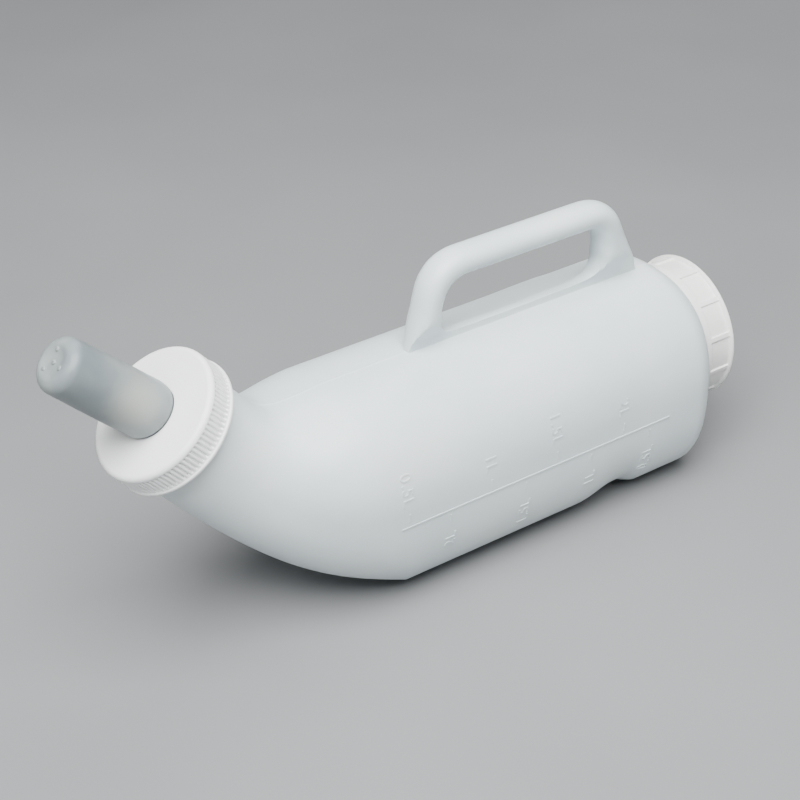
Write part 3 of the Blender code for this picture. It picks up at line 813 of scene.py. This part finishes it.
def make_collar(finish):
    """The collar, with round-ended grooves down its skirt and a thread in its bore."""
    outline = collar_outline()
    rings = []
    for i, angle in enumerate(even_angles(COLLAR_GROOVES * GROOVE_STEPS)):
        phase = (i % GROOVE_STEPS) / GROOVE_STEPS
        across = smooth(GROOVE_FULLNESS - abs(phase - 0.5) * GROOVE_SLOPE)
        ring = []
        for radius, height in outline:
            if radius > COLLAR_SKIRT - 0.0001:
                inside = min(GROOVE_TOP - height, height - GROOVE_FOOT) / GROOVE_FADE
                radius -= COLLAR_GROOVE_DEPTH * across * smooth(inside)
            ring.append(about_z(angle, radius, height))
        rings.append(ring)
    collar = loft("teat_collar_ring", rings, closed=True)
    ridge = thread_ridge("collar_thread", COLLAR_BORE + THREAD_SINK, COLLAR_THREAD_CREST,
                         FRONT_THREAD_START - THREAD_PITCH / 2, CAP_THREAD_TURNS)
    combine(collar, [ridge], "UNION")
    stand(collar, COLLAR_FACE, NECK_AXIS)
    dress(collar, finish, 40)
    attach(collar, "collar")
    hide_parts("teat_collar")


# ---------------------------------------------------------------- rear cap and seal

def cap_angles():
    """Angles round the cap, with close ones beside each grip bar."""
    half = CAP_BAR_HALF / CAP_RADIUS
    soft = CAP_BAR_EASE / CAP_RADIUS
    pitch = 2 * math.pi / CAP_BARS
    near = [-half - soft, -half - soft / 2, -half, 0.0, half, half + soft / 2, half + soft]
    gaps = CAP_PANEL_POINTS + 1
    panel = [half + soft + (pitch - 2 * (half + soft)) * i / gaps for i in range(1, gaps)]
    return [CAP_BAR_PHASE + pitch * k + a for k in range(CAP_BARS) for a in near + panel]


def bar_share(angle):
    """1 on a grip bar, 0 on the panels between."""
    pitch = 2 * math.pi / CAP_BARS
    offset = abs((angle - CAP_BAR_PHASE + pitch / 2) % pitch - pitch / 2) * CAP_RADIUS
    return smooth((CAP_BAR_HALF + CAP_BAR_EASE - offset) / CAP_BAR_EASE)


def cap_row(radius, height, barred=0.0):
    """One turned row of the cap; a barred row stands out to the grip bars' crest."""
    def row(angle):
        return lerp(radius, max(radius, CAP_RADIUS), barred * bar_share(angle)), height
    return row


def cap_rows():
    """The cap's rows from the middle of its face, over the rim and panels, to inside its end wall."""
    rim = CAP_RIM_RADIUS
    panel = CAP_PANEL_RADIUS
    face = [(radius, -CAP_FACE_SINK) for radius in (CAP_CENTRE, 0.012, 0.024)]
    face += [(CAP_RADIUS - inside, -depth) for inside, depth in CAP_FACE_STEP]
    face += [(rim - 0.0008, 0.0), *arc((rim - 0.0006, -0.0006), 0.0006, 67, 0, 3)]
    face += [(rim, -0.0014), (rim - 0.0003, -0.0018)]
    rows = [cap_row(*point) for point in face]
    panel_top = -0.0026
    panel_foot = 0.0006 - CAP_PANEL_END
    rows += [cap_row(panel + 0.0006, -0.0021, 1.0), cap_row(panel + 0.0001, -0.0024, 1.0)]
    rows += [cap_row(panel, lerp(panel_top, panel_foot, i / 5), 1.0) for i in range(6)]
    rows += [cap_row(panel + 0.0002, panel_foot - 0.0003, 1.0),
             cap_row(CAP_RADIUS - 0.0002, -CAP_PANEL_END, 0.5),
             cap_row(CAP_RADIUS, -CAP_PANEL_END - 0.0004)]
    skirt = [(CAP_RADIUS - 0.0002, lerp(-CAP_PANEL_END, -CAP_DEPTH, 0.5)),
             (CAP_RADIUS - 0.0004, 0.0008 - CAP_DEPTH), (CAP_RADIUS - 0.0006, 0.0003 - CAP_DEPTH),
             (CAP_RADIUS - 0.0010, -CAP_DEPTH), (CAP_BORE, -CAP_DEPTH),
             (CAP_BORE, -CAP_END_WALL), (0.02, -CAP_END_WALL), (CAP_CENTRE, -CAP_END_WALL)]
    return rows + [cap_row(*point) for point in skirt]


def make_cap(finish):
    """The rear cap, with grip bars round its skirt and a thread in its bore."""
    cap = turned_disc("rear_filling_cap", cap_rows(), cap_angles())
    ridge = thread_ridge("cap_thread", CAP_BORE + THREAD_SINK, CAP_THREAD_CREST,
                         REAR_THREAD_START - THREAD_PITCH / 2, CAP_THREAD_TURNS)
    combine(cap, [ridge], "UNION")
    stand(cap, at(0, 0), OUTWARD)
    dress(cap, finish, 40)
    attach(cap, "cap")
    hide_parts("rear_cap")


def make_seal(finish):
    """The flat ring between the cap's end wall and the rear neck's mouth."""
    top = -CAP_END_WALL - SEAT_GAP
    low = top - SEAL_THICKNESS
    outline = [(SEAL_INNER + SOFT_EDGE, top), (SEAL_INNER, top - SOFT_EDGE),
               (SEAL_INNER, low + SOFT_EDGE), (SEAL_INNER + SOFT_EDGE, low),
               (SEAL_OUTER - SOFT_EDGE, low), (SEAL_OUTER, low + SOFT_EDGE),
               (SEAL_OUTER, top - SOFT_EDGE), (SEAL_OUTER - SOFT_EDGE, top)]
    seal = turned("rear_cap_gasket", outline, SEAL_STEPS)
    stand(seal, at(0, 0), OUTWARD)
    dress(seal, finish, 50)
    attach(seal, "seal")
    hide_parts("rear_cap_seal")


# ---------------------------------------------------------------- materials

class Finish:
    """A Principled material with helpers for its procedural colour, roughness and grain."""

    def __init__(self, name, roughness, **settings):
        self.material = bpy.data.materials.new(name)
        self.material.use_nodes = True
        self.nodes = self.material.node_tree.nodes
        self.links = self.material.node_tree.links
        self.shader = self.nodes["Principled BSDF"]
        self.shader.inputs["Roughness"].default_value = roughness
        for key, value in settings.items():
            self.shader.inputs[key.replace("_", " ")].default_value = value
        self.place = self.nodes.new("ShaderNodeTexCoord").outputs["Object"]

    def noise(self, scale, detail=3.0, stretch=None):
        node = self.nodes.new("ShaderNodeTexNoise")
        node.inputs["Scale"].default_value = scale
        node.inputs["Detail"].default_value = detail
        source = self.place
        if stretch:
            mapping = self.nodes.new("ShaderNodeMapping")
            mapping.inputs["Scale"].default_value = stretch
            self.links.new(source, mapping.inputs["Vector"])
            source = mapping.outputs["Vector"]
        self.links.new(source, node.inputs["Vector"])
        return node.outputs["Fac"]

    def ramp(self, value, stops):
        node = self.nodes.new("ShaderNodeValToRGB")
        elements = node.color_ramp.elements
        while len(elements) < len(stops):
            elements.new(0.5)
        for element, (position, color) in zip(elements, stops):
            element.position = position
            element.color = (*color, 1.0)
        self.links.new(value, node.inputs["Fac"])
        return node.outputs["Color"]

    def spread(self, value, low, high):
        node = self.nodes.new("ShaderNodeMapRange")
        node.inputs["To Min"].default_value = low
        node.inputs["To Max"].default_value = high
        self.links.new(value, node.inputs["Value"])
        return node.outputs["Result"]

    def patch(self, centre, inner, outer, strength):
        """A soft round patch: the strength within the inner radius, and 0 past the outer one."""
        distance = self.nodes.new("ShaderNodeVectorMath")
        distance.operation = "DISTANCE"
        self.links.new(self.place, distance.inputs[0])
        distance.inputs[1].default_value = centre
        node = self.nodes.new("ShaderNodeMapRange")
        node.interpolation_type = "SMOOTHSTEP"
        node.inputs["From Min"].default_value = inner
        node.inputs["From Max"].default_value = outer
        node.inputs["To Min"].default_value = strength
        node.inputs["To Max"].default_value = 0.0
        self.links.new(distance.outputs["Value"], node.inputs["Value"])
        return node.outputs["Result"]

    def blend(self, share, under, color):
        node = self.nodes.new("ShaderNodeMix")
        node.data_type = "RGBA"
        self.links.new(share, node.inputs[0])
        self.links.new(under, node.inputs[6])
        node.inputs[7].default_value = (*color, 1.0)
        return node.outputs[2]

    def grain(self, heights):
        """Bumps laid over each other, from (height, strength, distance)."""
        normal = None
        for height, strength, distance in heights:
            node = self.nodes.new("ShaderNodeBump")
            node.inputs["Strength"].default_value = strength
            node.inputs["Distance"].default_value = distance
            self.links.new(height, node.inputs["Height"])
            if normal:
                self.links.new(normal, node.inputs["Normal"])
            normal = node.outputs["Normal"]
        self.links.new(normal, self.shader.inputs["Normal"])

    def set(self, socket, output):
        self.links.new(output, self.shader.inputs[socket])


def milky_polyethylene():
    """Natural blow-moulded polyethylene: cloudy, satin, with faint flow streaks and specks."""
    finish = Finish("natural_polyethylene", 0.42, Subsurface_Weight=0.15,
                    Subsurface_Radius=EVEN_SCATTER, Subsurface_Scale=0.003, IOR=1.50)
    cloud = finish.noise(14, 4.0, (1.0, 1.6, 1.6))
    finish.set("Base Color", finish.ramp(cloud, POLYETHYLENE_TONES))
    finish.set("Roughness", finish.spread(finish.noise(60, 4.0), 0.34, 0.50))
    streaks = finish.noise(90, 3.0, (0.5, 1.0, 1.0))
    specks = finish.noise(1400, 2.0)
    finish.grain([(streaks, 0.10, 0.0006), (specks, 0.12, 0.0001)])
    return finish.material


def white_plastic(name, tones):
    """Opaque white injection-moulded plastic with a fine satin grain."""
    finish = Finish(name, 0.42, Subsurface_Weight=0.08,
                    Subsurface_Radius=EVEN_SCATTER, Subsurface_Scale=0.001, IOR=1.50)
    finish.set("Base Color", finish.ramp(finish.noise(45, 4.0), tones))
    finish.set("Roughness", finish.spread(finish.noise(120, 3.0), 0.36, 0.52))
    finish.grain([(finish.noise(1600, 2.0), 0.14, 0.0001), (finish.noise(180, 2.0), 0.05, 0.0004)])
    return finish.material


def silicone():
    """Cloudy translucent silicone rubber, with a pale warm painted glow near its root and a painted
    shade patch beside it at the collar's face.
    """
    finish = Finish("translucent_silicone", 0.34, Subsurface_Weight=0.30,
                    Subsurface_Radius=EVEN_SCATTER, Subsurface_Scale=0.004, IOR=1.41,
                    Transmission_Weight=0.20)
    cloud = finish.ramp(finish.noise(55, 3.0), SILICONE_TONES)
    # Painted glow: a pale warm patch on the near side of the root stands in for light coming through
    # the rubber
    painted_glow_spot = COLLAR_FACE + NECK_AXIS * 0.021 - ACROSS * 0.013 + NECK_UP * 0.001
    beside = COLLAR_FACE + NECK_AXIS * 0.004 - ACROSS * 0.014 + NECK_UP * 0.001
    with_painted_glow = finish.blend(finish.patch(painted_glow_spot, 0.002, 0.021, 0.75), cloud, SILICONE_PAINTED_GLOW)
    # Painted shade: a dark patch at the root next to the collar's face
    with_painted_shade = finish.blend(finish.patch(beside, 0.001, 0.008, 0.55), with_painted_glow, SILICONE_PAINTED_SHADE)
    finish.set("Base Color", with_painted_shade)
    finish.set("Roughness", finish.spread(finish.noise(240, 4.0), 0.26, 0.42))
    finish.grain([(finish.noise(900, 2.0), 0.10, 0.0001)])
    return finish.material


def seal_rubber():
    """Matt off-white rubber."""
    finish = Finish("seal_rubber", 0.60, IOR=1.45)
    finish.set("Base Color", finish.ramp(finish.noise(80, 4.0), SEAL_TONES))
    finish.set("Roughness", finish.spread(finish.noise(300, 3.0), 0.52, 0.68))
    finish.grain([(finish.noise(1200, 3.0), 0.25, 0.0001)])
    return finish.material


# ---------------------------------------------------------------- studio

def make_floor():
    mesh = bmesh.new()
    bmesh.ops.create_grid(mesh, x_segments=1, y_segments=1, size=FLOOR_SIZE)
    floor = object_from(mesh, "floor")
    floor.location.z = -FLOOR_DROP
    finish = Finish("floor_paper", 0.85)
    finish.set("Base Color", finish.ramp(finish.noise(3, 3.0), FLOOR_TONES))
    floor.data.materials.append(finish.material)


def area_light(name, azimuth, elevation, distance, size, power):
    """A square soft light that faces the bottle; azimuth 0 is its near side and 90 the cap's end."""
    a = math.radians(azimuth)
    e = math.radians(elevation)
    direction = Vector((math.sin(a) * math.cos(e), -math.cos(a) * math.cos(e), math.sin(e)))
    light = bpy.data.lights.new(name, "AREA")
    light.shape = "SQUARE"
    light.size = size
    light.energy = power
    lamp = bpy.data.objects.new(name, light)
    lamp.location = direction * distance + UP * LIGHT_AIM_HEIGHT
    lamp.rotation_mode = "QUATERNION"
    lamp.rotation_quaternion = direction.to_track_quat("Z", "Y")
    bpy.context.scene.collection.objects.link(lamp)


def make_studio():
    make_floor()
    for light in LIGHTS:
        area_light(*light)
    world = bpy.data.worlds.new("studio")
    world.use_nodes = True
    background = world.node_tree.nodes["Background"]
    background.inputs["Color"].default_value = WORLD_COLOR
    background.inputs["Strength"].default_value = WORLD_STRENGTH
    bpy.context.scene.world = world


def make_camera():
    forward = Vector((math.sin(CAMERA_YAW) * math.cos(CAMERA_PITCH),
                      math.cos(CAMERA_YAW) * math.cos(CAMERA_PITCH), -math.sin(CAMERA_PITCH)))
    level_right = Vector((math.cos(CAMERA_YAW), -math.sin(CAMERA_YAW), 0.0))
    level_down = forward.cross(level_right)
    right = level_right * math.cos(CAMERA_ROLL) + level_down * math.sin(CAMERA_ROLL)
    up = level_right * math.sin(CAMERA_ROLL) - level_down * math.cos(CAMERA_ROLL)
    lens = bpy.data.cameras.new("camera")
    lens.lens = CAMERA_LENS
    lens.sensor_width = CAMERA_SENSOR
    camera = bpy.data.objects.new("camera", lens)
    turn = Matrix((right, up, -forward)).transposed().to_4x4()
    place = at(*CAMERA_AIM) - forward * CAMERA_DISTANCE
    camera.matrix_world = Matrix.Translation(place) @ turn
    bpy.context.scene.collection.objects.link(camera)
    bpy.context.scene.camera = camera


make_camera()
make_studio()
milky = milky_polyethylene()
body_surface = make_body(milky)
make_scale(milky, body_surface)
make_teat(silicone())
make_collar(white_plastic("collar_plastic", COLLAR_TONES))
make_cap(white_plastic("cap_plastic", CAP_TONES))
make_seal(seal_rubber())
